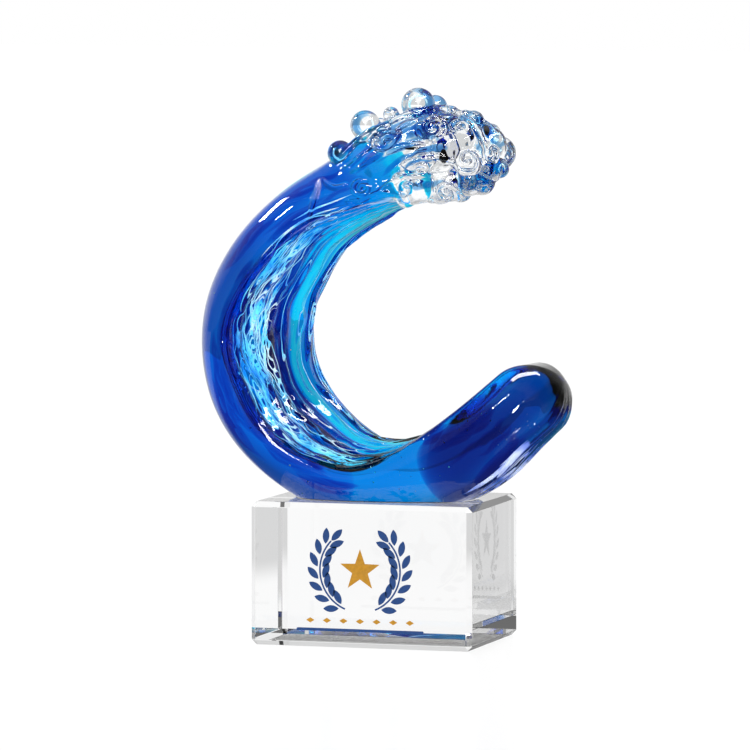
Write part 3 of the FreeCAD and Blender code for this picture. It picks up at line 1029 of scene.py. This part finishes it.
def build_inside(tree, drops):
    """The colour inside the clear skin, with pale streaks and swirls that glow as painted light."""
    build_bodies()
    # Pale and lilac glasses that glow: painted light, partly standing for highlights that the ridges focus.
    pale = glowing_pale_glass("glowing_pale_streak_glass", (0.10, 0.50, 0.95), (0.30, 0.82, 1.0), (0.85, 0.97, 1.0))
    lilac = glowing_pale_glass("glowing_lilac_streak_glass", (0.05, 0.16, 0.55), (0.30, 0.42, 0.85), (0.80, 0.86, 1.0))
    build_streaks({"pale": pale, "lilac": lilac})

    wisps, swirls = drop_threads(drops)
    # The swirls in the drops take the glowing pale glass, a painted glow.
    inner_piece(join(swirls, "glowing_drop_swirls"), pale)
    for number, (pixels, radius, depth) in enumerate(crest_wisps):
        centres = smoothed(traced(tree, pixels, 50, depth * mm), 12)
        sizes = 1.35 * radius * mm * spindle(50, 0.6)
        wisps.append(tube("wisp_%02d" % number, centres, sizes, sizes * 0.7, np.array(view_back)))
    inner_piece(join(wisps, "crest_wisps"), tinted_volume("wisp_volume", wisp_rates))

    pockets = []
    for number, (across, down, wide, high, deep) in enumerate(navy_pockets):
        spot, out = seen_at(tree, across, down)
        right = rightwards(out)
        axes = (right, np.cross(out, right), out)
        pockets.append(ball("pocket_%02d" % number, spot - out * deep * mm, mm, (wide, high, 1.1), axes))
    inner_piece(join(pockets, "navy_pockets"), tinted_volume("navy_pocket_volume", pocket_rates))


def air_bubbles():
    """Tiny bubbles of air caught in the glass, as small holes with their faces turned inwards."""
    draw = random.Random(5)
    rows = outlines()
    made = []
    for number in range(bubble_count):
        at = 9.4 + 5.4 * draw.random() ** 0.8 if number % 4 else 3.0 + 7.0 * draw.random()
        place = draw.random() * outline_points
        middle, _, outward = spine(np.array([at]))
        pairs = spline(spline(rows, np.array([at]))[0], np.array([place]), closed=True)[0]
        deep = 0.55 + 0.35 * draw.random()
        spot = middle[0] + outward[0] * pairs[0] * deep + np.array([0, pairs[1] * deep, 0])
        size = (0.10 + 0.22 * draw.random() ** 2) * mm
        bubble = ball("bubble_%02d" % number, spot, size, rows=6, around=10)
        if spot[2] > bottom_of_wave + 1 * mm:
            bubble.data.flip_normals()
            made.append(bubble)
        else:
            bpy.data.objects.remove(bubble)
    return made


def build_wave():
    """The clear skin with all that lies inside it. Gives the outline of its foot and its surface."""
    skin = swept("wave_glass", outlines(), 0, last_station, skin_rings, skin_points_round, worked_surface)
    lumps, drops = crest_lumps(seen_tree(skin))
    skin = melted(skin, lumps, first_melt, 3)
    tree = seen_tree(skin)
    build_inside(tree, drops)
    skin = melted(skin, crest_drawing(tree), last_melt, 2)
    wrinkle(skin, drops)
    tree = seen_tree(skin)
    footprint = cut_flat(skin, bottom_of_wave)
    dressed(skin, clear_glass("wave_clear", wave_index, wave_tint, wave_ripple, wave_gloss))
    skin = join([skin] + air_bubbles(), "wave_glass")
    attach(skin, "root")
    foam = [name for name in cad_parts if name.startswith(("crest_lobe", "swirl_bead", "foam_drop"))]
    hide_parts("wave_casing", "crest_gather", *foam)
    return footprint, tree


def build_block(footprint):
    """The crystal block with its bevels, fine arrises, and the patch where the wave is bonded on."""
    work = bmesh.new()
    bmesh.ops.create_cube(work, size=1)
    middle = (base_low + base_high) / 2
    size = base_high - base_low
    for vertex in work.verts:
        vertex.co = Vector([c + v * s for c, v, s in zip(middle, vertex.co, size)])
    bmesh.ops.bevel(work, geom=work.edges[:], offset=block_bevel, segments=1, affect="EDGES", profile=0.5)
    bmesh.ops.bevel(work, geom=work.edges[:], offset=block_arris, segments=2, affect="EDGES", profile=0.5)
    for face in work.faces:
        shortest = min(edge.calc_length() for edge in face.edges)
        face.smooth = face.calc_area() < 4 * mm * mm or shortest < 3 * block_arris
    top = max((face for face in work.faces if face.normal.z > 0.999), key=lambda face: face.calc_area())
    rim = [vertex.co.copy() for vertex in top.verts]
    height = top.calc_center_median().z
    corners = [Vector((p.x, p.y)) for p in rim + footprint]
    outer = list(range(len(rim)))
    inner = list(range(len(rim), len(corners)))
    points, _, faces, _, _, came_from = geometry.delaunay_2d_cdt(corners, [], [outer, inner], 1, 1e-7)
    bmesh.ops.delete(work, geom=[top], context="FACES_ONLY")
    made = [work.verts.new((p[0], p[1], height)) for p in points]
    for face, origin in zip(faces, came_from):
        try:
            patch = work.faces.new([made[i] for i in face])
        except ValueError:
            continue
        patch.material_index = 1 if len(origin) > 1 or 1 in origin else 0
    bmesh.ops.remove_doubles(work, verts=work.verts, dist=0.001 * mm)
    bmesh.ops.recalc_face_normals(work, faces=work.faces)
    mesh = bpy.data.meshes.new("crystal_block")
    work.to_mesh(mesh)
    work.free()
    block = bpy.data.objects.new("crystal_block", mesh)
    scene.collection.objects.link(block)
    mesh.materials.append(clear_glass("crystal", block_index, block_tint, block_ripple))
    mesh.materials.append(matched("block_contact"))
    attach(block, "root")
    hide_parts("base_block")


def build_base(footprint):
    """The block, and the glasses and inks of the film and the print."""
    build_block(footprint)
    dressed(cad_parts["bond_film"], matched("adhesive_film"))
    inks = {
        "print_star": amber_ink, "print_diamonds": amber_ink,
        "print_sprig_left": navy_ink, "print_sprig_right": navy_ink, "print_rule": navy_ink,
    }
    for name, colour in inks.items():
        dressed(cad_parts[name], ink(name + "_ink", colour))


def build_floor():
    """A pale floor that glows evenly to the eye, and less in front and beside the block to the glass."""
    bpy.ops.mesh.primitive_plane_add(size=floor_size, location=(0, 0, 0))
    floor = bpy.context.object
    floor.name = "floor"
    made, tree, out = material("pale_floor")
    glow = tree.nodes.new("ShaderNodeEmission")
    link = tree.links.new
    place = tree.nodes.new("ShaderNodeTexCoord").outputs["Object"]
    ahead = along_way(tree, place, (math.sin(view_azimuth), -math.cos(view_azimuth), 0))
    across = along_way(tree, place, (math.cos(view_azimuth), math.sin(view_azimuth), 0))
    beyond = math_node(tree, "SUBTRACT", math_node(tree, "ABSOLUTE", across), lit_width)
    in_front = smooth_range(tree, ahead, -0.02, 0.06, 1.0, front_floor)
    beside = smooth_range(tree, beyond, 0.0, 0.06, 1.0, side_floor)
    around = math_node(tree, "MULTIPLY", in_front, beside)
    path, off_glass = light_paths(tree)
    loss = smooth_range(tree, ahead, -0.2, -0.1, 0.0, mirrored_floor - 1.0)
    kept = math_node(tree, "MULTIPLY_ADD", off_glass, loss, 1.0)
    seen = math_node(tree, "MULTIPLY", path.outputs["Is Camera Ray"], floor_seen)
    light = math_node(tree, "MAXIMUM", math_node(tree, "MULTIPLY", around, kept), seen)
    link(light, glow.inputs["Strength"])
    gloss = tree.nodes.new("ShaderNodeBsdfGlossy")
    gloss.inputs["Color"].default_value = (1, 1, 1, 1)
    gloss.inputs["Roughness"].default_value = floor_roughness
    mix = tree.nodes.new("ShaderNodeMixShader")
    link(math_node(tree, "MULTIPLY", path.outputs["Is Camera Ray"], floor_gloss), mix.inputs["Fac"])
    link(glow.outputs["Emission"], mix.inputs[1])
    link(gloss.outputs["BSDF"], mix.inputs[2])
    link(mix.outputs["Shader"], out.inputs["Surface"])
    dressed(floor, made)


def build_room():
    """A soft studio: white to the eye, and to the glass darker high up, at the sides and in front."""
    world = bpy.data.worlds.new("studio")
    scene.world = world
    world.use_nodes = True
    tree = world.node_tree
    tree.nodes.clear()
    link = tree.links.new
    out = tree.nodes.new("ShaderNodeOutputWorld")
    place = tree.nodes.new("ShaderNodeTexCoord")
    split = tree.nodes.new("ShaderNodeSeparateXYZ")
    link(place.outputs["Generated"], split.inputs[0])
    greys = []
    for axis, stops in (("Z", greys_up), ("X", greys_across), ("Y", greys_back)):
        where = math_node(tree, "MULTIPLY_ADD", split.outputs[axis], 0.5, 0.5)
        greys.append(ramp(tree, where, [(stop, (grey, grey, grey)) for stop, grey in stops]))
    shade = multiplied(tree, multiplied(tree, greys[0], greys[1]), greys[2])
    path, off_glass = light_paths(tree)
    light = math_node(tree, "MULTIPLY_ADD", off_glass, mirrored_studio - studio_light, studio_light)
    light = math_node(tree, "MULTIPLY_ADD", path.outputs["Is Diffuse Ray"], print_light, light)
    studio = tree.nodes.new("ShaderNodeBackground")
    link(shade, studio.inputs["Color"])
    link(light, studio.inputs["Strength"])
    white = tree.nodes.new("ShaderNodeBackground")
    white.inputs["Color"].default_value = (1, 1, 1, 1)
    choose = tree.nodes.new("ShaderNodeMixShader")
    link(path.outputs["Is Camera Ray"], choose.inputs["Fac"])
    link(studio.outputs["Background"], choose.inputs[1])
    link(white.outputs["Background"], choose.inputs[2])
    link(choose.outputs["Shader"], out.inputs["Surface"])
    scene.view_settings.view_transform = "Standard"


def mirrored(tree, across, down):
    """A spot on the glass and the way on which the eye sees light come off it."""
    spots, ways = [], []
    for step_across in (-2, 0, 2):
        for step_down in (-2, 0, 2):
            spot, out = seen_at(tree, across + step_across, down + step_down)
            sight = (Vector(spot) - view_place).normalized()
            spots.append(Vector(spot))
            ways.append(sight.reflect(Vector(out)))
    return sum(spots, Vector()) / len(spots), sum(ways, Vector()).normalized()


def build_highlights(tree):
    """Strip lights where the glass mirrors them at the highlights of the photograph."""
    for number, (start, end, width, strength) in enumerate(highlights):
        (first_spot, first_way), (last_spot, last_way) = (mirrored(tree, *pixel) for pixel in (start, end))
        spot = (first_spot + last_spot) / 2
        first = spot + first_way * light_distance
        last = spot + last_way * light_distance
        middle = (first + last) / 2
        long = (last - first).normalized()
        facing = (middle - spot).normalized()
        side = long.cross(facing).normalized()
        data = bpy.data.lights.new("strip_%d" % number, "AREA")
        data.shape = "RECTANGLE"
        data.size, data.size_y = width, (last - first).length
        data.energy = strength * data.size * data.size_y * math.pi
        lamp = bpy.data.objects.new("strip_%d" % number, data)
        scene.collection.objects.link(lamp)
        turn = Matrix((side, facing.cross(side), facing)).transposed()
        lamp.matrix_world = Matrix.Translation(middle) @ turn.to_4x4()
        lamp.visible_diffuse = False
        lamp.visible_transmission = False


def build_camera():
    """The camera of the photograph."""
    data = bpy.data.cameras.new("camera")
    camera = bpy.data.objects.new("camera", data)
    scene.collection.objects.link(camera)
    camera.location = view_place
    camera.rotation_euler = view_back.to_track_quat("Z", "Y").to_euler()
    data.sensor_width = 36
    data.lens = focal_pixels / frame_pixels * data.sensor_width
    data.clip_end = 20
    scene.camera = camera


contact, glass_tree = build_wave()
build_base(contact)
build_floor()
build_room()
build_highlights(glass_tree)
build_camera()
look = scene.cycles
look.max_bounces = 32
look.transmission_bounces = 32
look.glossy_bounces = 16
look.transparent_max_bounces = 32
